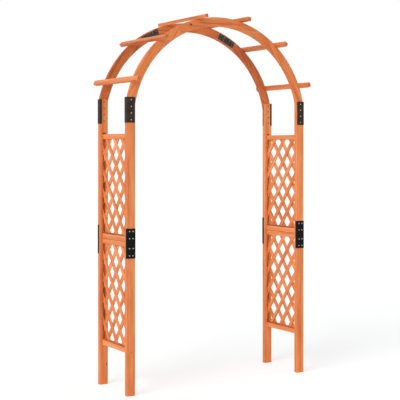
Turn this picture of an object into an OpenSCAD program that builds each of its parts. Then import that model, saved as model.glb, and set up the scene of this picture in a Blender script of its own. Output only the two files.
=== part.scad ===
// Free-standing garden arbor: two latticed side frames carry two arched ribs, tied by six rungs.
// X runs across the arch, Y from front to back and Z up. The origin is on the ground, amid the four feet.

/* [Overall size] */
// Width over the outer faces of the posts
arch_width = 1282; // [1100:1:1500]
// Depth over the front and back faces of the posts
frame_depth = 387; // [340:1:480]
// Height at which the arch springs from the posts
spring_height = 1596; // [1560:1:1750]

/* [Posts] */
// Width of a post, across the arch
post_width = 53; // [48:1:60]
// Depth of a post, from front to back
post_depth = 30; // [28:1:40]
// Height of the joint between the lower and the upper posts
splice_height = 905; // [860:1:950]
// Height of the lap joint between a post and the foot of a rib
lap_length = 150; // [130:1:180]
// Depth of the groove that holds the rails and the lattice
groove_depth = 10; // [8:0.5:11]
// Length of the groove left open above the top rail
groove_overrun = 9; // [4:1:20]
// Chamfer on the long edges of every bar
edge_ease = 1.5; // [0.5:0.1:2.5]

/* [Ribs] */
// Width of a rib, seen from the front
rib_width = 57; // [52:1:60]
// Thickness of a rib, from front to back
rib_thickness = 18; // [15:0.5:20]
// Distance by which the outer radius of the arch exceeds half its width
arch_reach = 13; // [11:1:20]

/* [Rungs] */
// Angle from one rung to the next
rung_step = 27; // [25:0.1:28]
// Width of a rung
rung_width = 30; // [25:1:36]
// Thickness of a rung
rung_thickness = 21; // [17:1:26]
// Length of a rung beyond the face of a rib
rung_overhang = 96; // [60:1:150]
// Depth of the seat that a rib holds each rung in
rung_seat = 1; // [0.5:0.5:5]
// Radius of the corners at the end of a rung
rung_corner = 8; // [4:1:12]

/* [Rails] */
// Height of a rail
rail_height = 30; // [26:1:40]
// Thickness of a rail, across the arch
rail_thickness = 18; // [16:1:22]
// Depth of the slot in a rail that holds the lattice
rail_slot = 8; // [5:0.5:9]
// Height of the underside of the lowest rail above the ground
ground_clearance = 254; // [200:1:320]
// Distance from the top of the highest rail up to the spring of the arch
top_rail_drop = 64; // [40:1:90]

/* [Lattice] */
// Width of a lattice strip
strip_width = 23; // [19:1:28]
// Thickness of a lattice strip
strip_thickness = 6; // [4:0.5:7]
// Distance between crossings, from front to back
diamond_width = 100; // [85:1:120]
// Distance between crossings, up a lower panel
lower_diamond_height = 134; // [110:1:150]
// Distance between crossings, up an upper panel
upper_diamond_height = 130; // [110:1:150]
// Height of the first row of crossings above the rail under it
first_crossing = 31.5; // [10:0.5:60]

/* [Steel fittings] */
// Thickness of the steel
steel = 2; // [1.5:0.1:3]
// Inner radius of the bends in the steel
bend_radius = 1.2; // [0.5:0.1:2]
// Length of a splice channel
splice_length = 175; // [150:1:210]
// Depth of the sides of a splice channel
splice_side = 15; // [10:1:20]
// Distance from the joint of the posts down to the middle of its channel
splice_drop = 15; // [0:1:25]
// Width of the lip of an arch bracket on the inner face of the post
bracket_lip = 11; // [8:1:14]
// Length of a rib plate
rib_plate_length = 125; // [110:1:150]
// Width of a rib plate
rib_plate_width = 40; // [34:1:46]
// Radius of the corners of a rib plate
rib_plate_corner = 4; // [1:0.5:6]

/* [Fasteners] */
// Diameter of a screw head
screw_head = 8; // [7:0.5:9]
// Height of a screw head above the steel
screw_rise = 2; // [1.5:0.1:2.5]
// Diameter of the flat top of a screw head
screw_top = 5.6; // [4.5:0.1:6.5]
// Diameter of a screw shank
screw_shank = 4; // [3.5:0.1:5]
// Depth to which a splice screw enters the post
splice_bite = 18; // [14:1:19]
// Distance from the tip of a bracket screw to the inner face of the post
bracket_tip_gap = 0.5; // [0.2:0.1:3]
// Depth to which a plate screw enters the rib
plate_bite = 14; // [11:1:14]
// Length of the screw that holds a rung
rung_screw_length = 50; // [42:1:60]
// Distance from the end of a fitting to its last screw
screw_edge = 16.5; // [12:0.5:20]
// Distance between the two rows of screws at each end of a splice channel
splice_row_gap = 42; // [30:1:50]
// Distance between the two columns of screws on a splice channel
splice_column_gap = 23; // [18:1:28]
// Distance from the middle of a rib plate to its outer screws
plate_outer_place = 50; // [46:0.5:50]
// Distance from the middle of a rib plate to its inner screws
plate_inner_place = 22.5; // [16:0.5:26]
// Distance between the two rows of screws on a rib plate
plate_row_gap = 20; // [16:1:24]
// Diameter of a dowel
dowel_diameter = 8; // [6:0.5:10]
// Depth to which a dowel enters the post
dowel_in_post = 13; // [10:1:16]
// Depth to which a dowel enters the rail
dowel_in_rail = 22; // [18:1:30]
// Clearance around a screw or a dowel
fit_gap = 0.2; // [0.1:0.05:0.4]

/* [Hidden] */
$fn = 32;
// Facets in a full turn of the arch
arch_facets = 96;
// Distance by which a cut runs past the face that it opens
cut = 1;
SIDES = ["left", "right"];
ENDS = ["front", "back"];
// Number of rungs
rung_count = 6;
RUNGS = [1:rung_count];
// Place of the crown in the count of rungs
crown_place = (rung_count + 1) / 2;
PANELS = ["lower", "upper"];
LAYERS = ["inner", "outer"];
RAILS = ["lower_panel_bottom", "lower_panel_top", "upper_panel_bottom", "upper_panel_top"];
FITTINGS = ["splice_channel", "arch_bracket", "rib_plate"];

// Faces and centre line of the post on the right, at the back
post_out = arch_width / 2;
post_in = post_out - post_width;
post_mid = post_out - post_width / 2;
post_back = frame_depth / 2;
post_front = post_back - post_depth;
groove_floor = post_front + groove_depth;
post_top = spring_height + lap_length;
groove_top = spring_height - top_rail_drop + groove_overrun;

// Radii and inner face of the ribs, and where the arc meets the straight foot
outer_radius = post_out + arch_reach;
inner_radius = outer_radius - rib_width;
middle_radius = outer_radius - rib_width / 2;
rib_face = post_back - rib_thickness;
rib_middle = post_back - rib_thickness / 2;
foot_rise = sqrt(max(1, inner_radius * inner_radius - post_in * post_in));
joint_angle = rung_step;
seat_radius = outer_radius - rung_seat;
rung_length = frame_depth + 2 * rung_overhang;

// Undersides of the rails, in the order of RAILS
rail_levels = [
    ground_clearance,
    splice_height - rail_height,
    splice_height,
    spring_height - top_rail_drop - rail_height
];
lattice_depth = 2 * strip_thickness;
diamond_heights = [lower_diamond_height, upper_diamond_height];
// The bends lie inside the chamfers of the post
inner_bend = min(bend_radius, edge_ease);

// Screw places on the fittings
splice_bottom = splice_height - splice_drop - splice_length / 2;
splice_rows = [
    splice_bottom + screw_edge,
    splice_bottom + screw_edge + splice_row_gap,
    splice_bottom + splice_length - screw_edge - splice_row_gap,
    splice_bottom + splice_length - screw_edge
];
splice_columns = [post_mid - splice_column_gap / 2, post_mid + splice_column_gap / 2];
bracket_rows = [for (i = [0:3]) spring_height + screw_edge + i * (lap_length - 2 * screw_edge) / 3];
plate_columns = [-plate_outer_place, -plate_inner_place, plate_inner_place, plate_outer_place];
plate_rows = [middle_radius - plate_row_gap / 2, middle_radius + plate_row_gap / 2];
screw_hole = screw_shank + 2 * fit_gap;
dowel_hole = dowel_diameter + 2 * fit_gap;
// Depth of a countersunk head, which is a right-angled cone
sink_depth = (screw_head - screw_shank) / 2;

lit_wood = "#E28750";
shade_wood = "#D2733F";
pale_wood = "#E98E58";
black_steel = "#1E1E20";
screw_steel = "#8A8177";
dowel_wood = "#D9B98A";

// Mirrors what is drawn for the right-hand back quarter into the quarter with the given side and end.
module quarter(x, y) {
    mirror([x == "left" ? 1 : 0, 0, 0])
        mirror([0, y == "front" ? 1 : 0, 0])
            children();
}

// Copies what is drawn for the right-hand back quarter into all four quarters.
module all_quarters() {
    for (y = ENDS, x = SIDES)
        quarter(x, y) children();
}

// Turns what is drawn above the centre of the arch towards the right by an angle from the crown.
module around_arch(angle) {
    translate([0, 0, spring_height])
        rotate([0, angle, 0])
            children();
}

// Rectangle from the origin with its four corners cut off.
module eased_rectangle(width, depth) {
    e = edge_ease;
    polygon([
        [e, 0], [width - e, 0], [width, e], [width, depth - e],
        [width - e, depth], [e, depth], [0, depth - e], [0, e]
    ]);
}

// Rectangle about the origin with rounded corners.
module rounded_rectangle(width, length, corner) {
    square([width, length - 2 * corner], center = true);
    square([width - 2 * corner, length], center = true);
    for (x = [-1, 1], y = [-1, 1])
        translate([x * (width / 2 - corner), y * (length / 2 - corner)])
            circle(r = corner);
}

// Upright bar from the origin with chamfered long edges.
module upright(width, depth, height) {
    linear_extrude(height = height)
        eased_rectangle(width, depth);
}

// Length of post between two heights.
module post_length(bottom, top) {
    translate([post_in, post_front, bottom])
        upright(post_width, post_depth, top - bottom);
}

// Groove down the face of a post that looks into the side frame.
module post_groove(bottom, top) {
    translate([post_mid - rail_thickness / 2, post_front - cut, bottom])
        cube([rail_thickness, groove_depth + cut, top - bottom]);
}

// Hole along Y, from one place to another.
module hole_along_y(x, z, from, to, diameter) {
    translate([x, from, z])
        rotate([-90, 0, 0])
            cylinder(h = to - from, d = diameter);
}

// Holes that the splice screws leave in the posts and the channel.
module splice_holes() {
    for (x = splice_columns, z = splice_rows)
        hole_along_y(x, z, post_back - splice_bite - fit_gap, post_back + steel + cut, screw_hole);
}

// Holes that the arch bracket screws leave in the bracket, the rib and right through the post.
module bracket_holes() {
    for (z = bracket_rows)
        hole_along_y(post_mid, z, post_front - cut, post_back + steel + cut, screw_hole);
}

// Holes that the rib plate screws leave in the plate and the ribs.
module plate_holes() {
    around_arch(joint_angle)
        for (x = plate_columns, z = plate_rows)
            hole_along_y(x, z, rib_face - steel - cut, rib_face + plate_bite + fit_gap, screw_hole);
}

// Holes in a post for the dowels of the rails at the given levels.
module dowel_holes(levels) {
    for (z = levels)
        hole_along_y(post_mid, z + rail_height / 2, groove_floor - cut,
            groove_floor + dowel_in_post + fit_gap, dowel_hole);
}

module lower_post() {
    color(lit_wood)
        difference() {
            post_length(0, splice_height);
            post_groove(ground_clearance, splice_height + cut);
            dowel_holes([rail_levels[0], rail_levels[1]]);
            splice_holes();
        }
}

// The upper post keeps its inner part beside the foot of the rib as a tongue.
module upper_post() {
    color(lit_wood)
        difference() {
            post_length(splice_height, post_top);
            post_groove(splice_height - cut, groove_top);
            dowel_holes([rail_levels[2], rail_levels[3]]);
            splice_holes();
            bracket_holes();
            translate([post_in - cut, rib_face, spring_height])
                cube([post_width + 2 * cut, rib_thickness + cut, lap_length + cut]);
        }
}

// Rail with its underside at a level. Its slot for the lattice opens upwards or downwards.
module rail(level, slot_on_top) {
    length = 2 * groove_floor;
    color(pale_wood)
        difference() {
            translate([post_mid - rail_thickness / 2, groove_floor, level])
                rotate([90, 0, 0])
                    linear_extrude(height = length)
                        eased_rectangle(rail_thickness, rail_height);
            translate([post_mid - lattice_depth / 2, -length / 2 - cut,
                       slot_on_top ? level + rail_height - rail_slot : level - cut])
                cube([lattice_depth, length + 2 * cut, rail_slot + cut]);
            for (y = ENDS)
                quarter("right", y)
                    hole_along_y(post_mid, level + rail_height / 2, groove_floor - dowel_in_rail - fit_gap,
                        groove_floor + cut, dowel_hole);
        }
}

// One layer of parallel lattice strips between two heights. The middle strip passes the middle of the panel's
// width at the height row. A lean of 1 rises to the back, -1 to the front.
module lattice_layer(bottom, top, row, diamond_height, lean, offset_x) {
    half = groove_floor;
    slope = atan2(diamond_height, diamond_width);
    count = ceil(max(top - row, row - bottom) / diamond_height + half / diamond_width);
    length = (top - bottom) / sin(slope) + 4 * strip_width;
    color(shade_wood)
        intersection() {
            translate([post_mid + offset_x, -half, bottom])
                cube([strip_thickness, 2 * half, top - bottom]);
            for (i = [-count:count])
                translate([post_mid + offset_x, i * diamond_width, row])
                    rotate([lean * slope, 0, 0])
                        translate([0, -length / 2, -strip_width / 2])
                            cube([strip_thickness, length, strip_width]);
        }
}

// Layer of the lattice of the lower or upper panel, on the inner or the outer side.
module lattice(panel, layer) {
    number = panel == "lower" ? 0 : 1;
    under = rail_levels[2 * number] + rail_height;
    over = rail_levels[2 * number + 1];
    pitch = diamond_heights[number];
    rows_below_middle = round(((over - under) / 2 - first_crossing) / pitch);
    lattice_layer(
        under - rail_slot,
        over + rail_slot,
        under + first_crossing + rows_below_middle * pitch,
        pitch,
        layer == "inner" ? 1 : -1,
        layer == "inner" ? -strip_thickness : 0
    );
}

// Part of the ring of the arch at the back, between two angles from the crown.
module ring_sector(from, to) {
    translate([0, post_back, spring_height])
        rotate([90, 0, 0])
            rotate([0, 0, 90 - to])
                rotate_extrude(angle = to - from, $fn = arch_facets)
                    translate([inner_radius, 0])
                        eased_rectangle(rib_width, rib_thickness);
}

// Flat seats in the outer edge of a rib for the rungs of the given numbers, and the screw holes in them.
module rung_seats(numbers) {
    for (number = numbers)
        around_arch((number - crown_place) * rung_step) {
            translate([-rung_width / 2, rib_face - cut, seat_radius])
                cube([rung_width, rib_thickness + 2 * cut, rung_seat + cut]);
            translate([0, rib_middle, seat_radius + rung_thickness - rung_screw_length - fit_gap])
                cylinder(h = rung_screw_length, d = screw_hole);
        }
}

// Side piece of a rib: an arc that ends in a straight foot beside the tongue of the post.
module rib_side() {
    color(shade_wood)
        difference() {
            union() {
                intersection() {
                    ring_sector(joint_angle, 90);
                    translate([0, rib_face - cut, spring_height])
                        cube([post_out, rib_thickness + 2 * cut, outer_radius]);
                }
                translate([post_in, rib_face, spring_height])
                    upright(post_width, rib_thickness, foot_rise);
            }
            rung_seats([5, 6]);
            bracket_holes();
            plate_holes();
        }
}

// Middle piece of a rib, over the crown.
module rib_crown() {
    color(shade_wood)
        difference() {
            ring_sector(-joint_angle, joint_angle);
            rung_seats([3, 4]);
            for (x = SIDES)
                quarter(x, "back") plate_holes();
        }
}

// Rung over both ribs, with rounded ends and chamfered edges, drawn at the crown.
module rung_bar() {
    translate([0, 0, seat_radius])
        difference() {
            intersection() {
                linear_extrude(height = rung_thickness)
                    rounded_rectangle(rung_width, rung_length, rung_corner);
                translate([-rung_width / 2, rung_length / 2 + cut, 0])
                    rotate([90, 0, 0])
                        linear_extrude(height = rung_length + 2 * cut)
                            eased_rectangle(rung_width, rung_thickness);
            }
            for (y = [-1, 1])
                translate([0, y * rib_middle, 0]) {
                    translate([0, 0, -cut])
                        cylinder(h = rung_thickness + 2 * cut, d = screw_hole);
                    translate([0, 0, rung_thickness - sink_depth - fit_gap])
                        cylinder(h = sink_depth + fit_gap, d1 = screw_hole, d2 = screw_head + 2 * fit_gap);
                }
        }
}

module rung(number) {
    color(lit_wood)
        around_arch((number - crown_place) * rung_step)
            rung_bar();
}

// Steel bent right round a post, from a height upwards. The fittings are cut from it.
module steel_wrap(bottom, length) {
    translate([post_mid, post_back - post_depth / 2, bottom])
        linear_extrude(height = length)
            difference() {
                rounded_rectangle(post_width + 2 * steel, post_depth + 2 * steel, inner_bend + steel);
                rounded_rectangle(post_width, post_depth, inner_bend);
            }
}

// Steel channel that wraps the joint of a lower and an upper post on three sides.
module splice_channel() {
    color(black_steel)
        difference() {
            steel_wrap(splice_bottom, splice_length);
            translate([post_in - steel - cut, post_front - steel - cut, splice_bottom - cut])
                cube([post_width + 2 * steel + 2 * cut, post_depth - splice_side + steel + cut,
                      splice_length + 2 * cut]);
            splice_holes();
        }
}

// Steel bracket over the lap joint: a plate outside, a web around the outer side and a narrow lip inside.
module arch_bracket() {
    color(black_steel)
        difference() {
            steel_wrap(spring_height, lap_length);
            translate([post_in - steel - cut, post_front - steel - cut, spring_height - cut])
                cube([steel + inner_bend + cut, post_depth + 2 * steel + 2 * cut, lap_length + 2 * cut]);
            translate([post_in, post_front - steel - cut, spring_height - cut])
                cube([post_width - bracket_lip, steel + 2 * cut, lap_length + 2 * cut]);
            bracket_holes();
        }
}

// Flat steel plate across the joint of two rib pieces, on the inner face of the rib.
module rib_plate() {
    color(black_steel)
        difference() {
            around_arch(joint_angle)
                translate([0, rib_face, middle_radius])
                    rotate([90, 0, 0])
                        linear_extrude(height = steel)
                            rounded_rectangle(rib_plate_length, rib_plate_width, rib_plate_corner);
            plate_holes();
        }
}

// Pan-head screw with its head on the plane Z = 0 and its shank below.
module pan_screw(length) {
    cylinder(h = screw_rise / 2, d = screw_head);
    translate([0, 0, screw_rise / 2])
        cylinder(h = screw_rise / 2, d1 = screw_head, d2 = screw_top);
    translate([0, 0, -length])
        cylinder(h = length, d = screw_shank);
}

module splice_screws() {
    color(screw_steel)
        all_quarters()
            for (x = splice_columns, z = splice_rows)
                translate([x, post_back + steel, z])
                    rotate([-90, 0, 0]) pan_screw(splice_bite + steel);
}

module arch_bracket_screws() {
    color(screw_steel)
        all_quarters()
            for (z = bracket_rows)
                translate([post_mid, post_back + steel, z])
                    rotate([-90, 0, 0]) pan_screw(post_depth + steel - bracket_tip_gap);
}

module rib_plate_screws() {
    color(screw_steel)
        all_quarters()
            around_arch(joint_angle)
                for (x = plate_columns, z = plate_rows)
                    translate([x, rib_face - steel, z])
                        rotate([90, 0, 0]) pan_screw(plate_bite + steel);
}

// Countersunk screws through the rungs into the edges of the ribs.
module rung_screws() {
    color(screw_steel)
        for (i = RUNGS, y = [-1, 1])
            around_arch((i - crown_place) * rung_step)
                translate([0, y * rib_middle, seat_radius + rung_thickness]) {
                    translate([0, 0, -sink_depth])
                        cylinder(h = sink_depth, d1 = screw_shank, d2 = screw_head);
                    translate([0, 0, -rung_screw_length])
                        cylinder(h = rung_screw_length - sink_depth, d = screw_shank);
                }
}

module rail_dowels() {
    color(dowel_wood)
        all_quarters()
            for (level = rail_levels)
                hole_along_y(post_mid, level + rail_height / 2, groove_floor - dowel_in_rail,
                    groove_floor + dowel_in_post, dowel_diameter);
}

for (y = ENDS, x = SIDES) {
    quarter(x, y) lower_post();
    quarter(x, y) upper_post();
    quarter(x, y) rib_side();
    quarter(x, y) splice_channel();
    quarter(x, y) arch_bracket();
    quarter(x, y) rib_plate();
}
for (i = [0:3], x = SIDES)
    quarter(x, "back") rail(rail_levels[i], i % 2 == 0);
for (panel = PANELS, layer = LAYERS, x = SIDES)
    quarter(x, "back") lattice(panel, layer);
for (y = ENDS)
    quarter("right", y) rib_crown();
for (i = RUNGS)
    rung(i);
splice_screws();
arch_bracket_screws();
rib_plate_screws();
rung_screws();
rail_dowels();
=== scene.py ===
import math
import bmesh
import bpy
import numpy as np
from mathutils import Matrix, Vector


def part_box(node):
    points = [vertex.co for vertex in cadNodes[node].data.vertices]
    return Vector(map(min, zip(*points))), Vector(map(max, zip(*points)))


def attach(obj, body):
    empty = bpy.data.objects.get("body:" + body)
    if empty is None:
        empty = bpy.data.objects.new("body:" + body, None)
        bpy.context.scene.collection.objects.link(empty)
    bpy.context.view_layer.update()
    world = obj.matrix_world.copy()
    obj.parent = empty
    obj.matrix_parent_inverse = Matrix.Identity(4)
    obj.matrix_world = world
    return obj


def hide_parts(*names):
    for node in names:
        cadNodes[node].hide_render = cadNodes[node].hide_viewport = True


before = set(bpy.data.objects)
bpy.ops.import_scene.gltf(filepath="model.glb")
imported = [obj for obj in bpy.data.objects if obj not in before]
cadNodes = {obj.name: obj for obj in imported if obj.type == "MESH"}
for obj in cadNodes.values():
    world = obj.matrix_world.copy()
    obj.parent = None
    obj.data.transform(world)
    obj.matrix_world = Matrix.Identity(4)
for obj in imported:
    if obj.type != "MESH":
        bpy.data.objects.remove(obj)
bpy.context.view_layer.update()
print("frame loaded:", len(cadNodes), "nodes")


# Small helpers

def toLinear(hexColour):
    # sRGB hex to the linear values that a shader takes: the sRGB curve, channel by channel
    channels = [int(hexColour[i:i + 2], 16) / 255 for i in (1, 3, 5)]
    return [c / 12.92 if c <= 0.04045 else ((c + 0.055) / 1.055) ** 2.4 for c in channels] + [1.0]


def addNode(tree, kind, settings=None, inputs=None):
    # adds one node; a socket among the inputs is linked, and anything else is a value
    node = tree.nodes.new(kind)
    for name, value in (settings or {}).items():
        setattr(node, name, value)
    for name, value in (inputs or {}).items():
        if isinstance(value, bpy.types.NodeSocket):
            tree.links.new(value, node.inputs[name])
        else:
            node.inputs[name].default_value = value
    return node


def newMaterial(name):
    material = bpy.data.materials.new(name)
    material.use_nodes = True
    material.node_tree.nodes.clear()
    return material, material.node_tree


def setMaterial(piece, material):
    if not piece.data.materials:
        piece.data.materials.append(material)
    for i in range(len(piece.material_slots)):
        piece.material_slots[i].material = material


def fillRamp(node, stops):
    # sets the colours of a ramp from a list of place and hex
    ramp = node.color_ramp
    while len(ramp.elements) < len(stops):
        ramp.elements.new(0.5)
    for element, (place, colour) in zip(ramp.elements, stops):
        element.position = place
        element.color = toLinear(colour)


def closedMesh(name, points, faces):
    # mesh of closed shells, with every face turned outwards
    mesh = bpy.data.meshes.new(name)
    mesh.from_pydata(points.tolist(), [], faces)
    shell = bmesh.new()
    shell.from_mesh(mesh)
    bmesh.ops.recalc_face_normals(shell, faces=shell.faces)
    shell.to_mesh(mesh)
    shell.free()
    return mesh


# Camera and stage

camera = {
    "place": (-3.4342, -5.5709, 1.4515),  # metres
    "heading": 31.4617,                   # degrees to the right of +Y
    "focal": 1038.72,                     # pixels
    "horizon": 147.356,                   # pixels below the top edge
    "frame": 400,                         # pixels across
    "sensor": 36.0,                       # millimetres
    "sight": 60,                          # metres that the camera sees
}


def makeCamera(s):
    data = bpy.data.cameras.new("camera")
    data.sensor_width = s["sensor"]
    data.lens = s["focal"] / s["frame"] * s["sensor"]
    data.shift_y = (s["horizon"] - s["frame"] / 2) / s["frame"]
    data.clip_end = s["sight"]
    piece = bpy.data.objects.new("camera", data)
    bpy.context.scene.collection.objects.link(piece)
    piece.location = s["place"]
    piece.rotation_euler = (math.radians(90), 0, -math.radians(s["heading"]))
    bpy.context.scene.camera = piece


makeCamera(camera)

stage = {
    "floorSize": 40.0,        # metres
    "floorColour": "#E6E6E6", # what the object sees of the floor
    "floorLift": 0.30,        # light that the floor gives the object from below, as a lit sweep does
    "floorShade": (0.675, 0.700, 0.712),   # how much of the floor's white takes light and shadow
    "floorGlow": 0.53,        # and how much is there without any
    "sky": "#FFFFFF",
    "skyStrength": 0.40,
}

# Broad lamps far away: "from" is where the light comes from, and "spread" is how wide the lamp looks, in
# degrees
lamps = {
    "key": {"from": (-0.80, -0.32, 0.50), "spread": 38, "strength": 1.62, "colour": "#FFFCF8"},
    "fill": {"from": (-0.20, -0.97, 0.12), "spread": 70, "strength": 0.75, "colour": "#FFFFFF"},
}


def makeStage(s):
    half = s["floorSize"] / 2
    mesh = bpy.data.meshes.new("floor")
    corners = [(-half, -half, 0), (half, -half, 0), (half, half, 0), (-half, half, 0)]
    mesh.from_pydata(corners, [], [(0, 1, 2, 3)])
    floor = bpy.data.objects.new("floor", mesh)
    bpy.context.scene.collection.objects.link(floor)
    material, tree = newMaterial("matt white studio floor")
    path = addNode(tree, "ShaderNodeLightPath")
    matt = addNode(tree, "ShaderNodeBsdfDiffuse", inputs={"Color": toLinear(s["floorColour"])})
    lift = addNode(tree, "ShaderNodeEmission", inputs={"Color": [1, 1, 1, 1], "Strength": s["floorLift"]})
    bounce = addNode(tree, "ShaderNodeAddShader", inputs={0: matt.outputs[0], 1: lift.outputs[0]})
    shade = addNode(tree, "ShaderNodeBsdfDiffuse", inputs={"Color": list(s["floorShade"]) + [1]})
    glow = addNode(tree, "ShaderNodeEmission", inputs={"Color": [1, 1, 1, 1], "Strength": s["floorGlow"]})
    seen = addNode(tree, "ShaderNodeAddShader", inputs={0: shade.outputs[0], 1: glow.outputs[0]})
    mix = addNode(tree, "ShaderNodeMixShader", inputs={
        0: path.outputs["Is Camera Ray"], 1: bounce.outputs[0], 2: seen.outputs[0]})
    addNode(tree, "ShaderNodeOutputMaterial", inputs={"Surface": mix.outputs[0]})
    setMaterial(floor, material)

    world = bpy.data.worlds.new("white studio")
    bpy.context.scene.world = world
    world.use_nodes = True
    tree = world.node_tree
    tree.nodes.clear()
    path = addNode(tree, "ShaderNodeLightPath")
    seenByCamera = addNode(tree, "ShaderNodeMath", {"operation": "MAXIMUM"}, {
        0: path.outputs["Is Camera Ray"], 1: path.outputs["Is Glossy Ray"]})
    seenThrough = addNode(tree, "ShaderNodeMath", {"operation": "MAXIMUM"}, {
        0: seenByCamera.outputs[0], 1: path.outputs["Is Transmission Ray"]})
    strength = addNode(tree, "ShaderNodeMapRange", inputs={
        "Value": seenThrough.outputs[0], "To Min": s["skyStrength"], "To Max": 1.0})
    sky = addNode(tree, "ShaderNodeBackground", inputs={
        "Color": toLinear(s["sky"]), "Strength": strength.outputs[0]})
    addNode(tree, "ShaderNodeOutputWorld", inputs={"Surface": sky.outputs[0]})


def makeLamp(name, s):
    data = bpy.data.lights.new(name, "SUN")
    data.angle = math.radians(s["spread"])
    data.energy = s["strength"]
    data.color = toLinear(s["colour"])[:3]
    lamp = bpy.data.objects.new(name, data)
    bpy.context.scene.collection.objects.link(lamp)
    lamp.rotation_euler = Vector(s["from"]).to_track_quat("Z", "Y").to_euler()


makeStage(stage)
for lampName, lampSettings in lamps.items():
    makeLamp(lampName, lampSettings)
view = bpy.context.scene.view_settings
view.view_transform = "Standard"
print("camera, floor and lamps placed")


# Stained fir

# Planed fir under an orange-brown water stain, matt: dark latewood lines a few millimetres apart on a
# paler ground, long soft streaks where the stain took unevenly, small pin knots, and end grain that drank
# more of it.
fir = {
    "stops": [(0.0, "#8A3C1A"), (0.25, "#BF6232"), (0.5, "#DE7F47"), (0.72, "#EB9057"), (1.0, "#F6B07C")],
    "ringSpacing": 0.0038,   # metres from one latewood line to the next
    "ringDepth": 0.17,       # share of the ramp that a line takes off
    "lateRise": (0.25, 0.88),   # parts of a ring between which it darkens to latewood
    "lateFall": (0.90, 1.00),   # and between which it is pale again
    "wander": 0.010,         # metres that the lines stray sideways
    "wanderWaves": (7, 7, 1.6),   # waves of straying in a metre, across and along the grain
    "streakWidth": 0.013,    # metres
    "streakLength": 0.40,    # metres
    "streakDepth": 0.46,
    "blotch": (0.022, 0.085),   # metres across and along the grain
    "blotchDepth": 0.17,
    "fibreWidth": 0.0009,    # metres; real fibres are finer and would not show
    "fibreLength": 0.035,    # metres
    "fibreDepth": 0.14,
    "cloudSize": 0.25,       # metres
    "cloudDepth": 0.10,
    "knotColour": "#782D0E",
    "endColour": "#B5602F",
    "endFrom": 0.75,         # how far a face turns along the board before it looks like end grain
    "endShare": 0.65,
    "roughness": (0.50, 0.68),
    "bump": 0.00022,         # metres
    "bumpStrength": 0.6,
    "shine": 0.30,
    "ior": 1.45,
}
pinKnot = {
    "oval": 0.7,             # a knot is longer along the grain by one over this
    "bendFall": 0.22,        # how soon the bend of the rings dies away, by the square of the radii
    "darkEdge": (0.55, 1.25),   # radii between which the dark of the knot fades
}


def makeGrain(s):
    # Node group in a board's own frame, with Z along the grain. The rings are circles round the pith,
    # which is far to one side: ring = distance from the pith / spacing, and the latewood is the last part
    # of each ring.
    group = bpy.data.node_groups.new("fir grain", "ShaderNodeTree")
    for name, kind in (("Vector", "NodeSocketVector"), ("Bend", "NodeSocketFloat")):
        group.interface.new_socket(name, in_out="INPUT", socket_type=kind)
    for name in ("Shade", "Height"):
        group.interface.new_socket(name, in_out="OUTPUT", socket_type="NodeSocketFloat")
    given = addNode(group, "NodeGroupInput")
    place, bend = given.outputs["Vector"], given.outputs["Bend"]

    slow = addNode(group, "ShaderNodeVectorMath", {"operation": "MULTIPLY"}, {
        0: place, 1: s["wanderWaves"]})
    stray = addNode(group, "ShaderNodeTexNoise", inputs={
        "Vector": slow.outputs[0], "Scale": 1.0, "Detail": 1.5})
    centred = addNode(group, "ShaderNodeVectorMath", {"operation": "SUBTRACT"}, {
        0: stray.outputs["Color"], 1: (0.5, 0.5, 0.5)})
    moved = addNode(group, "ShaderNodeVectorMath", {"operation": "MULTIPLY_ADD"}, {
        0: centred.outputs[0], 1: (2 * s["wander"], 2 * s["wander"], 0), 2: place})
    across = addNode(group, "ShaderNodeVectorMath", {"operation": "MULTIPLY"}, {
        0: moved.outputs[0], 1: (1, 1, 0)})
    distance = addNode(group, "ShaderNodeVectorMath", {"operation": "LENGTH"}, {0: across.outputs[0]})
    bent = addNode(group, "ShaderNodeMath", {"operation": "ADD"}, {0: distance.outputs["Value"], 1: bend})
    turns = addNode(group, "ShaderNodeMath", {"operation": "DIVIDE"}, {
        0: bent.outputs[0], 1: s["ringSpacing"]})
    part = addNode(group, "ShaderNodeMath", {"operation": "FRACT"}, {0: turns.outputs[0]})
    rise = addNode(group, "ShaderNodeMapRange", {"interpolation_type": "SMOOTHSTEP"}, {
        "Value": part.outputs[0], "From Min": s["lateRise"][0], "From Max": s["lateRise"][1]})
    fall = addNode(group, "ShaderNodeMapRange", {"interpolation_type": "SMOOTHSTEP"}, {
        "Value": part.outputs[0], "From Min": s["lateFall"][0], "From Max": s["lateFall"][1],
        "To Min": 1.0, "To Max": 0.0})
    late = addNode(group, "ShaderNodeMath", {"operation": "MULTIPLY"}, {
        0: rise.outputs[0], 1: fall.outputs[0]})

    # streaks, fibres, clouds and blotches: a noise each, as wide and as long as they are
    layers = []
    for width, length, detail in ((s["streakWidth"], s["streakLength"], 2),
                                  (s["fibreWidth"], s["fibreLength"], 3),
                                  (s["cloudSize"], s["cloudSize"], 1),
                                  (*s["blotch"], 2)):
        scaled = addNode(group, "ShaderNodeVectorMath", {"operation": "MULTIPLY"}, {
            0: place, 1: (1 / width, 1 / width, 1 / length)})
        layers.append(addNode(group, "ShaderNodeTexNoise", inputs={
            "Vector": scaled.outputs[0], "Scale": 1.0, "Detail": detail}).outputs["Fac"])
    shade = addNode(group, "ShaderNodeMath", {"operation": "MULTIPLY"}, {
        0: late.outputs[0], 1: -s["ringDepth"]})
    for layer, depth in zip(layers, (s["streakDepth"], s["fibreDepth"], s["cloudDepth"], s["blotchDepth"])):
        middle = addNode(group, "ShaderNodeMath", {"operation": "SUBTRACT"}, {0: layer, 1: 0.5})
        shade = addNode(group, "ShaderNodeMath", {"operation": "MULTIPLY_ADD"}, {
            0: middle.outputs[0], 1: 2 * depth, 2: shade.outputs[0]})
    height = addNode(group, "ShaderNodeMath", {"operation": "MULTIPLY_ADD"}, {
        0: late.outputs[0], 1: 0.6, 2: layers[1]})
    addNode(group, "NodeGroupOutput", inputs={"Shade": shade.outputs[0], "Height": height.outputs[0]})
    return group


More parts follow.
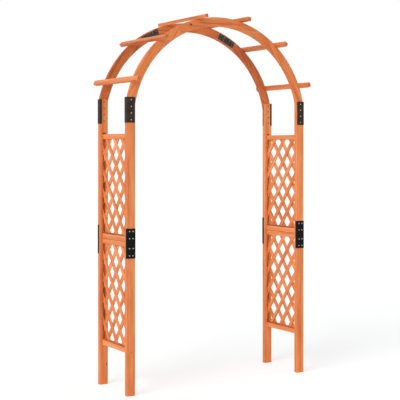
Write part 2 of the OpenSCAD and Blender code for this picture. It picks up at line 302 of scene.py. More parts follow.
def makeKnot(s):
    # Node group for one knot: distance from the branch, which runs square to the grain, over the knot's
    # radius. Near it the rings bend away by radius * exp(-bendFall * radii^2), and inside it the wood is
    # dark.
    group = bpy.data.node_groups.new("pin knot", "ShaderNodeTree")
    for name, kind in (("Vector", "NodeSocketVector"), ("Centre", "NodeSocketVector"),
                       ("Branch", "NodeSocketVector"), ("Radius", "NodeSocketFloat")):
        group.interface.new_socket(name, in_out="INPUT", socket_type=kind)
    for name in ("Bend", "Dark"):
        group.interface.new_socket(name, in_out="OUTPUT", socket_type="NodeSocketFloat")
    given = addNode(group, "NodeGroupInput")
    offset = addNode(group, "ShaderNodeVectorMath", {"operation": "SUBTRACT"}, {
        0: given.outputs["Vector"], 1: given.outputs["Centre"]})
    along = addNode(group, "ShaderNodeVectorMath", {"operation": "PROJECT"}, {
        0: offset.outputs[0], 1: given.outputs["Branch"]})
    beside = addNode(group, "ShaderNodeVectorMath", {"operation": "SUBTRACT"}, {
        0: offset.outputs[0], 1: along.outputs[0]})
    oval = addNode(group, "ShaderNodeVectorMath", {"operation": "MULTIPLY"}, {
        0: beside.outputs[0], 1: (1, 1, s["oval"])})
    away = addNode(group, "ShaderNodeVectorMath", {"operation": "LENGTH"}, {0: oval.outputs[0]})
    radii = addNode(group, "ShaderNodeMath", {"operation": "DIVIDE"}, {
        0: away.outputs["Value"], 1: given.outputs["Radius"]})
    squared = addNode(group, "ShaderNodeMath", {"operation": "MULTIPLY"}, {
        0: radii.outputs[0], 1: radii.outputs[0]})
    spread = addNode(group, "ShaderNodeMath", {"operation": "MULTIPLY"}, {
        0: squared.outputs[0], 1: -s["bendFall"]})
    hump = addNode(group, "ShaderNodeMath", {"operation": "EXPONENT"}, {0: spread.outputs[0]})
    bend = addNode(group, "ShaderNodeMath", {"operation": "MULTIPLY"}, {
        0: hump.outputs[0], 1: given.outputs["Radius"]})
    dark = addNode(group, "ShaderNodeMapRange", {"interpolation_type": "SMOOTHSTEP"}, {
        "Value": radii.outputs[0], "From Min": s["darkEdge"][0], "From Max": s["darkEdge"][1],
        "To Min": 1.0, "To Max": 0.0})
    addNode(group, "NodeGroupOutput", inputs={"Bend": bend.outputs[0], "Dark": dark.outputs[0]})
    return group


def makeRecessShade():
    # Node group that is 1 inside a box and 0 outside: the largest of the three distances from the middle
    # of the box, each over half its side, is below 1. Left and right, and front and back, count alike. The
    # boards use it to mark where painted shade goes.
    group = bpy.data.node_groups.new("painted shade in a recess", "ShaderNodeTree")
    for name in ("Vector", "Middle", "Half"):
        group.interface.new_socket(name, in_out="INPUT", socket_type="NodeSocketVector")
    group.interface.new_socket("Inside", in_out="OUTPUT", socket_type="NodeSocketFloat")
    given = addNode(group, "NodeGroupInput")
    folded = addNode(group, "ShaderNodeVectorMath", {"operation": "ABSOLUTE"}, {0: given.outputs["Vector"]})
    offset = addNode(group, "ShaderNodeVectorMath", {"operation": "SUBTRACT"}, {
        0: folded.outputs[0], 1: given.outputs["Middle"]})
    away = addNode(group, "ShaderNodeVectorMath", {"operation": "ABSOLUTE"}, {0: offset.outputs[0]})
    share = addNode(group, "ShaderNodeVectorMath", {"operation": "DIVIDE"}, {
        0: away.outputs[0], 1: given.outputs["Half"]})
    parts = addNode(group, "ShaderNodeSeparateXYZ", inputs={0: share.outputs[0]})
    largest = addNode(group, "ShaderNodeMath", {"operation": "MAXIMUM"}, {
        0: parts.outputs[0], 1: parts.outputs[1]})
    largest = addNode(group, "ShaderNodeMath", {"operation": "MAXIMUM"}, {
        0: largest.outputs[0], 1: parts.outputs[2]})
    inside = addNode(group, "ShaderNodeMath", {"operation": "LESS_THAN"}, {0: largest.outputs[0], 1: 1.0})
    addNode(group, "NodeGroupOutput", inputs={"Inside": inside.outputs[0]})
    return group


grainGroup = makeGrain(fir)
knotGroup = makeKnot(pinKnot)
recessShadeGroup = makeRecessShade()

# Lattice panels in metres: height of a row of crossings, rise from one row to the next, and where the
# strips end below and above. Crossings are 100 mm apart from front to back.
panels = {
    "lower": {"row": 0.5728, "rise": 0.134, "bottom": 0.2835, "top": 0.8735},
    "upper": {"row": 1.2187, "rise": 0.130, "bottom": 0.9345, "top": 1.510},
}
crossingStep = 0.100
leans = {"inner": -1, "outer": 1}   # the inner strips fall to the back, and the outer ones rise
postMiddle = 0.6145                                # metres from the middle of the frame
bracketRows = (1.6125, 1.6515, 1.6905, 1.7295)     # heights of a bracket's screws, in metres

# Recesses that get painted shade, where light hardly reaches, by part of a node's name: middle, half sizes
# and how much darker. They are the grooves of the posts, the tongues and slots of the rails and the seam
# between two rails.
shadedRecesses = {
    "lower_post": [((postMiddle, 0.1687, 0.60), (0.0092, 0.0050, 0.50), 0.25)],
    "upper_post": [((postMiddle, 0.1687, 1.25), (0.0092, 0.0050, 0.50), 0.29)],
    "lower_panel_bottom": [((postMiddle, 0, 0.279), (0.0062, 0.20, 0.0050), 0.56)],
    "lower_panel_top": [((postMiddle, 0, 0.8695), (0.0062, 0.20, 0.0042), 0.25),
                        ((postMiddle, 0, 0.896), (0.02, 0.20, 0.0016), 0.35)],
    "upper_panel_bottom": [((postMiddle, 0, 0.9307), (0.0062, 0.20, 0.0044), 0.56),
                           ((postMiddle, 0, 0.896), (0.02, 0.20, 0.0016), 0.35)],
    "upper_panel_top": [((postMiddle, 0, 1.506), (0.0062, 0.20, 0.0042), 0.25)],
}

chord = math.radians(58.5)         # middle of a rib's side piece, from the crown
# Which way the grain runs
directions = {
    "post": (0, 0, 1),
    "rail": (0, 1, 0),
    "rung": (0, 1, 0),
    "rib_left": (math.cos(chord), 0, math.sin(chord)),
    "rib_crown": (1, 0, 0),
    "rib_right": (math.cos(chord), 0, -math.sin(chord)),
}
for panelName, panel in panels.items():
    slope = math.atan2(panel["rise"], crossingStep)
    for layer, lean in leans.items():
        directions["lattice_" + panelName + "_" + layer] = (0, math.cos(slope), lean * math.sin(slope))

# Place on the colour ramp for each kind of board, and boards that are paler or darker than the rest of
# their kind. The back rib is darker than the front one, and its side pieces darker still: painted shade,
# for the shadow of the front rib on it.
kindTonesAndShade = {"post": 0.62, "rail": 0.75, "rung": 0.60, "lattice": 0.735, "rib_front": 0.57, "rib_back": 0.46}
boardTonesAndShade = {"upper_post_front_right": 0.13, "upper_post_back_right": 0.08, "lower_post_front_right": 0.04,
              "rib_back_right": -0.09, "rib_back_left": -0.09}
# Posts that get no knots by chance, because the photograph shows them clear
clearBoards = ("lower_post_front_right", "upper_post_front_right", "lower_post_back_right",
               "upper_post_back_right", "lower_post_front_left", "lower_post_back_left")

# Knots that show in the photograph: node, place in metres, direction of the branch, and radius
shownKnots = [
    ("lower_post_front_left", (-0.6143, -0.1935, 0.2549), (0, 1, 0), 0.0029),
    ("lower_post_back_left", (-0.5971, 0.1635, 0.1231), (0, 1, 0), 0.0045),
    ("rib_front_crown", (-0.2076, -0.1935, 2.1937), (0, 1, 0), 0.0070),
]

# How the boards are cut from their logs, in metres
boards = {
    "seed": 23,
    "pith": (0.16, 0.05, 0.0),           # from a board to the pith of its log
    "pithSpread": (0.05, 0.05, 2.0),
    "toneSpread": 0.05,
    "mostKnots": 2,
    "knotPlace": (0.08, 0.92),           # shares of the board's box
    "knotRadius": (0.0025, 0.0045),
    "screwHoleShade": 0.004,                  # radius of the dark ring painted round each hole where a bracket's screw comes out, as the shade in the hole
    "stripSpread": 0.20,                 # how much the strips of a lattice differ
}


def makeFir(name, s, direction, toneAndShade, offset, knots, strips=None, shadeBoxes=()):
    # Stained fir for one board. Mapping turns the board's length onto Z and slides it to its place in the
    # log.
    material, tree = newMaterial(name)
    turn = Vector(direction).rotation_difference(Vector((0, 0, 1))).to_matrix()
    coordinates = addNode(tree, "ShaderNodeTexCoord")
    placed = addNode(tree, "ShaderNodeMapping", {"vector_type": "POINT"}, {
        "Vector": coordinates.outputs["Object"], "Rotation": turn.to_euler(), "Location": offset})
    bend, dark = None, None
    for centre, branch, radius in knots:
        knot = addNode(tree, "ShaderNodeGroup", {"node_tree": knotGroup}, {
            "Vector": placed.outputs[0], "Centre": turn @ Vector(centre) + Vector(offset),
            "Branch": turn @ Vector(branch), "Radius": radius})
        if bend is None:
            bend, dark = knot.outputs["Bend"], knot.outputs["Dark"]
        else:
            bend = addNode(tree, "ShaderNodeMath", {"operation": "ADD"}, {
                0: bend, 1: knot.outputs["Bend"]}).outputs[0]
            dark = addNode(tree, "ShaderNodeMath", {"operation": "MAXIMUM"}, {
                0: dark, 1: knot.outputs["Dark"]}).outputs[0]
    grain = addNode(tree, "ShaderNodeGroup", {"node_tree": grainGroup}, {"Vector": placed.outputs[0]})
    if bend is not None:
        tree.links.new(bend, grain.inputs["Bend"])
    shade = addNode(tree, "ShaderNodeMath", {"operation": "ADD"}, {0: grain.outputs["Shade"], 1: toneAndShade})
    if strips:
        # each strip of a lattice has a tone of its own: its number is its place across the strips over
        # the pitch
        place = addNode(tree, "ShaderNodeVectorMath", {"operation": "DOT_PRODUCT"}, {
            0: coordinates.outputs["Object"], 1: strips["across"]})
        number = addNode(tree, "ShaderNodeMath", {"operation": "MULTIPLY_ADD"}, {
            0: place.outputs["Value"], 1: 1 / strips["pitch"], 2: strips["shift"]})
        whole = addNode(tree, "ShaderNodeMath", {"operation": "ROUND"}, {0: number.outputs[0]})
        chance = addNode(tree, "ShaderNodeTexWhiteNoise", {"noise_dimensions": "1D"}, {
            "W": whole.outputs[0]})
        centred = addNode(tree, "ShaderNodeMath", {"operation": "SUBTRACT"}, {
            0: chance.outputs["Value"], 1: 0.5})
        shade = addNode(tree, "ShaderNodeMath", {"operation": "MULTIPLY_ADD"}, {
            0: centred.outputs[0], 1: strips["spread"], 2: shade.outputs[0]})
    # painted shade: inside each recess box the place on the ramp drops by that box's depth
    for middle, half, depth in shadeBoxes:
        recess = addNode(tree, "ShaderNodeGroup", {"node_tree": recessShadeGroup}, {
            "Vector": coordinates.outputs["Object"], "Middle": middle, "Half": half})
        shade = addNode(tree, "ShaderNodeMath", {"operation": "MULTIPLY_ADD"}, {
            0: recess.outputs["Inside"], 1: -depth, 2: shade.outputs[0]})
    ramp = addNode(tree, "ShaderNodeValToRGB", inputs={"Fac": shade.outputs[0]})
    fillRamp(ramp, s["stops"])
    # end grain: where the face looks along the board
    facing = addNode(tree, "ShaderNodeVectorMath", {"operation": "DOT_PRODUCT"}, {
        0: coordinates.outputs["Normal"], 1: direction})
    square = addNode(tree, "ShaderNodeMath", {"operation": "ABSOLUTE"}, {0: facing.outputs["Value"]})
    end = addNode(tree, "ShaderNodeMapRange", {"interpolation_type": "SMOOTHSTEP"}, {
        "Value": square.outputs[0], "From Min": s["endFrom"], "From Max": 1.0, "To Max": s["endShare"]})
    colour = addNode(tree, "ShaderNodeMix", {"data_type": "RGBA", "blend_type": "MIX"}, {
        0: end.outputs[0], 6: ramp.outputs["Color"], 7: toLinear(s["endColour"])})
    if dark is not None:
        colour = addNode(tree, "ShaderNodeMix", {"data_type": "RGBA", "blend_type": "MIX"}, {
            0: dark, 6: colour.outputs[2], 7: toLinear(s["knotColour"])})
    rough = addNode(tree, "ShaderNodeMapRange", inputs={
        "Value": grain.outputs["Height"], "To Min": s["roughness"][1], "To Max": s["roughness"][0]})
    relief = addNode(tree, "ShaderNodeBump", inputs={
        "Height": grain.outputs["Height"], "Distance": s["bump"], "Strength": s["bumpStrength"]})
    shader = addNode(tree, "ShaderNodeBsdfPrincipled", inputs={
        "Base Color": colour.outputs[2], "Roughness": rough.outputs[0], "Normal": relief.outputs[0],
        "Specular IOR Level": s["shine"], "IOR": s["ior"]})
    addNode(tree, "ShaderNodeOutputMaterial", inputs={"Surface": shader.outputs[0]})
    return material


def kindOf(node):
    # what a node is, and which way its grain runs
    if "post" in node:
        return "post", "post"
    if "_rail_" in node:
        return "rail", "rail"
    if "_lattice_" in node:
        return "lattice", "_".join(["lattice", node.split("_")[0], node.split("_")[2]])
    if node.startswith("rib_") and "plate" not in node:
        return "_".join(node.split("_")[:2]), "rib_" + node.split("_")[2]
    if node.startswith("rung_") and node != "rung_screws":
        return "rung", "rung"
    return None, None


def paintBoards(s):
    # gives each board its own material, with its own place in the log, tone and knots
    chance = np.random.default_rng(s["seed"])
    painted = 0
    for node in sorted(cadNodes):
        kind, run = kindOf(node)
        if kind is None:
            continue
        direction = directions[run]
        low, high = (np.array(corner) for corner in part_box(node))
        offset = np.array(s["pith"]) + chance.uniform(-1, 1, 3) * s["pithSpread"]
        knots = []
        if kind in ("post", "rib_front", "rib_back"):
            for _ in range(chance.integers(0, s["mostKnots"] + 1)):
                spot = low + chance.uniform(*s["knotPlace"], 3) * (high - low)
                radius = chance.uniform(*s["knotRadius"])
                if node not in clearBoards:
                    knots.append((spot, (0, 1, 0), radius))
        for owner, spot, branch, radius in shownKnots:
            if owner == node:
                knots.append((spot, branch, radius))
        if node.startswith("upper_post"):
            # the bracket's screws come out on the inner face, each in a dark ring drawn as a small knot:
            # painted shade of its hole
            x = math.copysign(postMiddle, low[0])
            knots += [((x, 0, z), (0, 1, 0), s["screwHoleShade"]) for z in bracketRows]
        strips = None
        if kind == "lattice":
            across = Vector((1, 0, 0)).cross(Vector(direction))
            pitch = abs(crossingStep * across.y)
            row = panels[node.split("_")[0]]["row"]
            strips = {"across": across, "pitch": pitch, "shift": -row * across.z / pitch,
                      "spread": s["stripSpread"]}
        shadeBoxes = [hollow for part, found in shadedRecesses.items() if part in node for hollow in found]
        toneAndShade = kindTonesAndShade[kind] + boardTonesAndShade.get(node, 0) + chance.uniform(-s["toneSpread"], s["toneSpread"])
        material = makeFir("stained fir " + node.replace("_", " "), fir, direction, toneAndShade, offset, knots,
                           strips, shadeBoxes)
        setMaterial(cadNodes[node], material)
        painted += 1
    print("boards painted:", painted)


paintBoards(boards)


# Lattice

# Sawn strips with eased edges, in two layers that touch face to face. In metres.
strip = {
    "width": 0.0258,
    "thickness": 0.006,
    "ease": 0.0005,          # radius of the long edges
    "reach": 0.1735,         # from the middle of the frame to the floor of the groove in a post
    "rings": 9,              # sections along a strip
    "steps": 9,              # strips counted to each side of the middle one, before the corners cut them
    "leastWidth": 0.005,     # a sliver narrower than this in a corner is left out
    "cornerGap": 0.00001,    # a strip that a corner cuts stays this far inside
}


def stripProfile(s):
    # Rounded rectangle: a quarter circle of three points at each corner, as (across the strip, through it)
    turns = np.radians([0, 45, 90])
    corner = s["ease"] * np.stack([np.cos(turns), np.sin(turns)], axis=1)
    middle = np.array([s["width"] / 2 - s["ease"], s["thickness"] / 2 - s["ease"]])
    signs = np.array([(1, 1), (-1, 1), (-1, -1), (1, -1)])
    quarters = [(corner[::x * y] + middle) * (x, y) for x, y in signs]
    return np.concatenate(quarters)


def stripLayer(s, panel, lean, middleX):
    # Strip i is the profile carried along the line (i * step, row) + distance * along, where along rises
    # or falls by one rise in each step. Each point of the profile starts and ends where its own line
    # meets the edge of the panel. Points of a strip that would pass a corner are drawn in to it.
    slope = math.atan2(panel["rise"], crossingStep)
    along = np.array([math.cos(slope), lean * math.sin(slope)])
    across = np.array([-along[1], along[0]])
    low = np.array([-s["reach"], panel["bottom"]])
    high = np.array([s["reach"], panel["top"]])
    places = np.arange(-s["steps"], s["steps"] + 1) * crossingStep
    base = np.stack([places, np.full_like(places, panel["row"])], axis=1)
    corners = np.array([(y, z) for y in (low[0], high[0]) for z in (low[1], high[1])])
    extent = (corners[None] - base[:, None]) @ across
    profile = stripProfile(s)
    least = extent.min(axis=1)[:, None] + s["cornerGap"]
    most = extent.max(axis=1)[:, None] - s["cornerGap"]
    wide = np.clip(profile[None, :, 0], least, most)
    kept = np.ptp(wide, axis=1) > s["leastWidth"]
    wide, base = wide[kept], base[kept]
    start = base[:, None] + wide[..., None] * across
    limits = np.sort(np.stack([(low - start) / along, (high - start) / along]), axis=0)
    first, last = limits[0].max(axis=-1), limits[1].min(axis=-1)
    share = np.linspace(0, 1, s["rings"])
    distance = first[:, None] + (last - first)[:, None] * share[None, :, None]
    flat = start[:, None] + distance[..., None] * along
    x = np.broadcast_to(middleX + profile[:, 1], flat.shape[:3])
    points = np.concatenate([x[..., None], flat], axis=3)
    count, rings, around = points.shape[:3]
    index = np.arange(count * rings * around).reshape(count, rings, around)
    after = np.roll(index, -1, axis=2)
    sides = np.stack([index[:, :-1], after[:, :-1], after[:, 1:], index[:, 1:]], axis=3).reshape(-1, 4)
    ends = np.concatenate([index[:, 0, ::-1], index[:, -1]])
    return points.reshape(-1, 3), sides.tolist() + ends.tolist()


def makeLattice(s):
    for panelName, panel in panels.items():
        for layer, lean in leans.items():
            for side, sign in (("left", -1), ("right", 1)):
                node = "_".join([panelName, "lattice", layer, side])
                outward = -s["thickness"] / 2 if layer == "inner" else s["thickness"] / 2
                mesh = closedMesh(node, *stripLayer(s, panel, lean, sign * (postMiddle + outward)))
                piece = bpy.data.objects.new(panelName + layer.title() + "Strips" + side.title(), mesh)
                bpy.context.scene.collection.objects.link(piece)
                setMaterial(piece, cadNodes[node].material_slots[0].material)
                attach(piece, "root")
                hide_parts(node)


makeLattice(strip)
print("lattice made")


# Rails

# The three lower rails of each side, which sit lower than in the solids. The edge that faces the lattice
# has a tongue as thick as the lattice, on which the strips end, or a slot that takes them. In metres.
rail = {
    "thickness": 0.018,
    "height": 0.030,
    "chamfer": 0.0012,
    "tongue": 0.012,         # thickness of the tongue and width of the slot
    "reach": 0.1735,         # from the middle of the frame to the floor of the groove in a post
}
# Height of the edge away from the lattice, which way the lattice lies from it, and how far the tongue
# stands out or, below zero, how deep the slot is
railPlaces = {
    "lower_panel_bottom": {"edge": 0.2440, "towards": 1, "step": 0.0095},
    "lower_panel_top": {"edge": 0.8955, "towards": -1, "step": -0.0080},
    "upper_panel_bottom": {"edge": 0.8965, "towards": 1, "step": 0.0080},
}


def railProfile(s, step):
    # Half of the section as (distance from the middle plane, height from the edge away from the lattice),
    # and then the same points mirrored, so that the section is closed.
    half, tongue, chamfer, height = s["thickness"] / 2, s["tongue"] / 2, s["chamfer"], s["height"]
    right = np.array([(half - chamfer, 0), (half, chamfer), (half, height - chamfer),
                      (half - chamfer, height), (tongue, height), (tongue, height + step)])
    return np.concatenate([right, right[::-1] * (-1, 1)])


def makeRails(s):
    # Each rail is the section carried along Y from one end to the other, and closed there.
    for name, place in railPlaces.items():
        for side, sign in (("left", -1), ("right", 1)):
            node = name + "_rail_" + side
            profile = railProfile(s, place["step"])
            x = sign * postMiddle + profile[:, 0]
            z = place["edge"] + place["towards"] * profile[:, 1]
            front, back = (np.stack([x, np.full_like(x, y), z], axis=1) for y in (-s["reach"], s["reach"]))
            near = np.arange(len(x))
            after = np.roll(near, -1)
            far = near + len(x)
            sides = np.stack([near, after, after + len(x), far], axis=1)
            mesh = closedMesh(node, np.concatenate([front, back]),
                              sides.tolist() + [near[::-1].tolist(), far.tolist()])
            words = name.split("_")
            pieceName = words[0] + "Panel" + words[2].title() + "Rail" + side.title()
            piece = bpy.data.objects.new(pieceName, mesh)
            bpy.context.scene.collection.objects.link(piece)
            setMaterial(piece, cadNodes[node].material_slots[0].material)
            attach(piece, "root")
            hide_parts(node)


makeRails(rail)
print("rails made")


# Steel, screws and dowels

powderCoat = {
    "name": "black powder-coated steel",
    "colour": "#0A0B0C",
    "pale": "#151516",
    "blend": (0.12, 0.42),   # from all dark to all pale
    "roughness": (0.42, 0.60),
    "grit": 0.0009,          # metres
    "cloud": 0.033,          # metres
    "bump": 0.00010,         # metres
    "bumpStrength": 0.5,
    "shine": 0.09,
}
# the brackets are painted lighter and warmer than the channels, and the plates up on the arch lighter grey
# with fine pale mottling: painted sheen
bracketCoatWithSheen = dict(powderCoat, name="dusty black powder-coated steel", colour="#2C211E", pale="#44382F")
plateCoatWithSheen = dict(powderCoat, name="black powder-coated steel with painted sheen on the plates", colour="#222120", pale="#5A5856",
                 cloud=0.014)
zinc = {
    "name": "dull zinc-plated steel",
    "colour": "#D3CABB",
    "dull": "#9C9283",
    "blend": (0.3, 0.7),
    "roughness": (0.34, 0.55),
    "spot": 0.0016,          # metres
    "bump": 0.00004,         # metres
}
blackened = dict(zinc, name="blackened steel", colour="#8C8881", dull="#5E5B56", roughness=(0.40, 0.60))


def makePowderCoat(s):
    # Black powder coat baked on sheet steel: satin, with the fine pebbling of melted powder.
    # Real pebbling is about 0.3 mm across and is drawn three times as coarse, so that it shows.
    material, tree = newMaterial(s["name"])
    coordinates = addNode(tree, "ShaderNodeTexCoord")
    grit = addNode(tree, "ShaderNodeTexNoise", inputs={
        "Vector": coordinates.outputs["Object"], "Scale": 1 / s["grit"], "Detail": 2})
    cloud = addNode(tree, "ShaderNodeTexNoise", inputs={
        "Vector": coordinates.outputs["Object"], "Scale": 1 / s["cloud"], "Detail": 3})
    blend = addNode(tree, "ShaderNodeMath", {"operation": "MULTIPLY"}, {
        0: grit.outputs["Fac"], 1: cloud.outputs["Fac"]})
    ramp = addNode(tree, "ShaderNodeValToRGB", inputs={"Fac": blend.outputs[0]})
    fillRamp(ramp, [(s["blend"][0], s["colour"]), (s["blend"][1], s["pale"])])
    rough = addNode(tree, "ShaderNodeMapRange", inputs={
        "Value": cloud.outputs["Fac"], "To Min": s["roughness"][0], "To Max": s["roughness"][1]})
    relief = addNode(tree, "ShaderNodeBump", inputs={
        "Height": grit.outputs["Fac"], "Distance": s["bump"], "Strength": s["bumpStrength"]})
    shader = addNode(tree, "ShaderNodeBsdfPrincipled", inputs={
        "Base Color": ramp.outputs["Color"], "Roughness": rough.outputs[0], "Normal": relief.outputs[0],
        "Specular IOR Level": s["shine"]})
    addNode(tree, "ShaderNodeOutputMaterial", inputs={"Surface": shader.outputs[0]})
    return material


def makeFilmedSteel(s):
    # Screw steel under its film: zinc gone cloudy and slightly warm, or the soft black of oil blackening.
    material, tree = newMaterial(s["name"])
    coordinates = addNode(tree, "ShaderNodeTexCoord")
    spots = addNode(tree, "ShaderNodeTexNoise", inputs={
        "Vector": coordinates.outputs["Object"], "Scale": 1 / s["spot"], "Detail": 3})
    ramp = addNode(tree, "ShaderNodeValToRGB", inputs={"Fac": spots.outputs["Fac"]})
    fillRamp(ramp, [(s["blend"][0], s["dull"]), (s["blend"][1], s["colour"])])
    rough = addNode(tree, "ShaderNodeMapRange", inputs={
        "Value": spots.outputs["Fac"], "To Min": s["roughness"][1], "To Max": s["roughness"][0]})
    relief = addNode(tree, "ShaderNodeBump", inputs={"Height": spots.outputs["Fac"], "Distance": s["bump"]})
    shader = addNode(tree, "ShaderNodeBsdfPrincipled", inputs={
        "Base Color": ramp.outputs["Color"], "Metallic": 1.0, "Roughness": rough.outputs[0],
        "Normal": relief.outputs[0]})
    addNode(tree, "ShaderNodeOutputMaterial", inputs={"Surface": shader.outputs[0]})
    return material


# turned beech without stain: pale, with fine close grain
beech = dict(fir, stops=[(0.0, "#B98B57"), (0.5, "#D9B486"), (1.0, "#E8CBA2")], ringSpacing=0.0015,
             endColour="#C79C68", knotColour="#B98B57")

steelMaterials = {"splice_channel": makePowderCoat(powderCoat), "arch_bracket": makePowderCoat(bracketCoatWithSheen),
                  "rib_plate": makePowderCoat(plateCoatWithSheen)}
zincMaterial = makeFilmedSteel(zinc)
blackenedMaterial = makeFilmedSteel(blackened)
beechMaterial = makeFir("bare beech dowel", beech, directions["rail"], 0.5, (0.1, 0.1, 0), [])
for node, piece in cadNodes.items():
    if node.endswith("_screws"):
        setMaterial(piece, zincMaterial)
    elif node.rsplit("_", 2)[0] in steelMaterials:
        setMaterial(piece, steelMaterials[node.rsplit("_", 2)[0]])
    elif node == "rail_dowels":
        setMaterial(piece, beechMaterial)
print("steel and dowels painted")


# Screws

# One shape for all of them: a pan or countersunk head with a cross recess, a thread and a point. In metres.
screw = {
    "places": 32,            # points round the screw, eight for each arm of the cross
    "headRings": (0.00028, 0.0006, 0.00095, 0.0013, 0.0017, 0.0021, 0.0024, 0.0029, 0.0033, 0.0036, 0.00385,
                  0.0040),
    "headRadius": 0.0040,
    "headHeight": 0.0020,
    "dome": (2.6, 0.45),     # how flat the top is and how round its edge
    "shankRadius": 0.0020,
    "coreRadius": 0.0014,
    "ridge": 1.5,            # how sharp the thread is
    "pitch": 0.0020,
    "rowsPerTurn": 4,
    "point": 0.0045,
    "taper": 0.8,            # how full the point is
    "tip": 0.03,             # share of the radius that the last ring keeps
    "armHalf": 0.00055,      # half the width of an arm of the cross
    "armSlope": 0.00020,
    "armReach": 0.0022,
    "edgeSine": 0.62,        # near the middle, where the arms meet, their edges and feet turn no further
    "footSine": 0.68,
    "allPressed": 0.0008,    # inside this radius the whole ring is in the cross
    "evenRadius": 0.0033,    # from here outwards the places round a ring are even
    "evenOver": 0.0009,
    "recessDepth": 0.0015,
}


def screwShape(s, length, thread, pan):
    # A grid of rings down the screw by the places round it, with a pole at each end.
    # Head: height = headHeight * (1 - (radius / headRadius)^2.6)^0.45, or flat and then a cone.
    # Cross: the ring is pressed down by recessDepth * (1 - (radius / armReach)^2) on the four arms.
    # Thread: radius = core + (shank - core) * ridge, where ridge falls from 1 to 0 and back in one pitch as
    # the screw turns, and the radius shrinks to nothing over the length of the point.
    headRings = np.array(s["headRings"])
    dome = s["headHeight"] * (1 - (headRings / s["headRadius"]) ** s["dome"][0]) ** s["dome"][1] * pan
    # places round the head: an arm's middle, its edge, its foot, and on to the next arm
    edge = np.arcsin(np.minimum(s["armHalf"] / headRings, s["edgeSine"]))
    foot = np.arcsin(np.minimum((s["armHalf"] + s["armSlope"]) / headRings, s["footSine"]))
    eighth = np.full_like(edge, math.pi / 4)
    quarter = np.stack([0 * edge, edge, foot, (foot + eighth) / 2, eighth, 2 * eighth - (foot + eighth) / 2,
                        2 * eighth - foot, 2 * eighth - edge], axis=1)
    angles = np.concatenate([quarter + k * math.pi / 2 for k in range(4)], axis=1)
    even = np.arange(s["places"]) * 2 * math.pi / s["places"]
    lean = np.clip((s["evenRadius"] - headRings) / s["evenOver"], 0, 1)[:, None]
    angles = lean * angles + (1 - lean) * even
    onArm = np.tile([True, True, False, False, False, False, False, True], 4)
    pressed = onArm[None, :] | (headRings[:, None] < s["allPressed"])
    depth = s["recessDepth"] * np.clip(1 - (headRings / s["armReach"]) ** 2, 0, 1)[:, None] * pressed
    head = np.stack([headRings[:, None] * np.cos(angles), headRings[:, None] * np.sin(angles),
                     dome[:, None] - depth], axis=2)

    neck = 0.0 if pan else s["headRadius"] - s["shankRadius"]
    smooth = np.array([neck, length - thread])
    rows = max(2, round(thread / s["pitch"] * s["rowsPerTurn"]))
    down = np.concatenate([smooth, np.linspace(length - thread, length, rows)[1:]])[:, None]
    phase = (down / s["pitch"] + even[None, :] / (2 * math.pi)) % 1
    ridge = np.abs(2 * phase - 1) ** s["ridge"]
    threaded = s["coreRadius"] + (s["shankRadius"] - s["coreRadius"]) * ridge
    radius = np.where(down <= length - thread, s["shankRadius"], threaded)
    radius = radius * np.clip((length - down) / s["point"], s["tip"], 1) ** s["taper"]
    heights = np.broadcast_to(-down, radius.shape)
    shank = np.stack([radius * np.cos(even), radius * np.sin(even), heights], axis=2)
    rings = np.concatenate([head, shank])
    poles = np.array([[0, 0, dome[0] - s["recessDepth"]], [0, 0, -length]])
    points = np.concatenate([rings.reshape(-1, 3), poles])

    rows, columns = rings.shape[:2]
    index = np.arange(rows * columns).reshape(rows, columns)
    after = np.roll(index, -1, axis=1)
    sides = np.stack([index[:-1], index[1:], after[1:], after[:-1]], axis=2).reshape(-1, 4)
    top = np.stack([np.full(columns, rows * columns), index[0], after[0]], axis=1)
    tip = np.stack([np.full(columns, rows * columns + 1), after[-1], index[-1]], axis=1)
    return points, sides, np.concatenate([top, tip])


# What carries the screws and where they go through it, as in the solids: metres, and degrees from the crown
arch = {
    "spring": 1.596,
    "middleRadius": 0.6255,
    "rungTop": 0.674,
    "ribFace": 0.1755,
    "ribMiddle": 0.1845,
    "postBack": 0.1935,
    "steel": 0.002,
    "channelColumns": (0.603, 0.626),
    "channelRows": (0.819, 0.861, 0.919, 0.961),
    "plateTurn": 27,
    "plateAlong": (-0.050, -0.0225, 0.0225, 0.050),
    "plateAcross": (-0.010, 0.010),
    "rungTurns": (13.5, 40.5, 67.5),
}


def screwPlaces(name, s):
    # Places of the heads and the way that each points out: one row each of place and outward direction.
    # Those of one quarter are mirrored to all four. Plate and rung screws sit on circles round the centre
    # of the arch: (x, z) = (radius * sin(turn), spring + radius * cos(turn)).
    if name == "spliceScrewSet":
        spots = [((x, s["postBack"] + s["steel"], z), (0, 1, 0))
                 for x in s["channelColumns"] for z in s["channelRows"]]
    elif name == "bracketScrewSet":
        spots = [((postMiddle, s["postBack"] + s["steel"], z), (0, 1, 0)) for z in bracketRows]
    elif name == "plateScrewSet":
        turn = math.radians(s["plateTurn"])
        spots = [((x * math.cos(turn) + z * math.sin(turn), s["ribFace"] - s["steel"],
                   s["spring"] + z * math.cos(turn) - x * math.sin(turn)), (0, -1, 0))
                 for x in s["plateAlong"] for z in np.add(s["middleRadius"], s["plateAcross"])]
    else:
        turns = [math.radians(angle) for angle in s["rungTurns"]]
        spots = [((s["rungTop"] * math.sin(turn), s["ribMiddle"],
                   s["spring"] + s["rungTop"] * math.cos(turn)),
                  (math.sin(turn), 0, math.cos(turn))) for turn in turns]
    spots = np.array(spots)
    return np.concatenate([spots * [x, y, 1] for x in (-1, 1) for y in (-1, 1)])


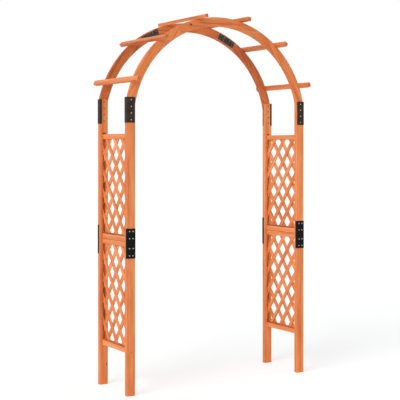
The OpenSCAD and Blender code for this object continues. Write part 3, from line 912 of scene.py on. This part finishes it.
# What each set of screws replaces, its finish and slot, its length under the head, the length of its
# thread, and whether its head is a pan head
screwSets = {
    "spliceScrewSet": {"node": "splice_screws", "material": zincMaterial, "slot": "screw_steel",
                       "length": 0.020, "thread": 0.018, "pan": True},
    "bracketScrewSet": {"node": "arch_bracket_screws", "material": zincMaterial, "slot": "screw_steel",
                        "length": 0.0315, "thread": 0.020, "pan": True},
    "plateScrewSet": {"node": "rib_plate_screws", "material": blackenedMaterial, "slot": "black_steel",
                      "length": 0.016, "thread": 0.014, "pan": True},
    "rungScrewSet": {"node": "rung_screws", "material": zincMaterial, "slot": "screw_steel",
                     "length": 0.050, "thread": 0.032, "pan": False},
}


def makeScrews(name, s, wanted):
    points, sides, fans = screwShape(s, wanted["length"], wanted["thread"], wanted["pan"])
    places = screwPlaces(name, arch)
    chance = np.random.default_rng(len(name))
    out = places[:, 1]
    # a frame for each screw: out, a direction square to it, and the third, then a turn by chance about it
    beside = np.cross(out, np.where(np.abs(out[:, 1:2]) > 0.5, [[0, 0, 1]], [[0, 1, 0]]))
    beside /= np.linalg.norm(beside, axis=1, keepdims=True)
    third = np.cross(out, beside)
    spin = chance.uniform(0, math.pi / 2, len(out))[:, None]
    first = np.cos(spin) * beside + np.sin(spin) * third
    second = np.cos(spin) * third - np.sin(spin) * beside
    axes = np.stack([first, second, out], axis=1)
    placed = np.einsum("pi,nij->npj", points, axes) + places[:, None, 0]
    steps = np.arange(len(out))[:, None, None] * len(points)
    faces = (sides[None] + steps).reshape(-1, 4).tolist() + (fans[None] + steps).reshape(-1, 3).tolist()
    mesh = bpy.data.meshes.new(name)
    mesh.from_pydata(placed.reshape(-1, 3).tolist(), [], faces)
    mesh.validate()
    mesh.shade_smooth()
    piece = bpy.data.objects.new(name, mesh)
    bpy.context.scene.collection.objects.link(piece)
    setMaterial(piece, wanted["material"])
    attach(piece, "root")
    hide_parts(wanted["node"])
    return piece


for screwName, screwSet in screwSets.items():
    made = makeScrews(screwName, screw, screwSet)
    print("made", screwName, len(made.data.polygons), "faces")
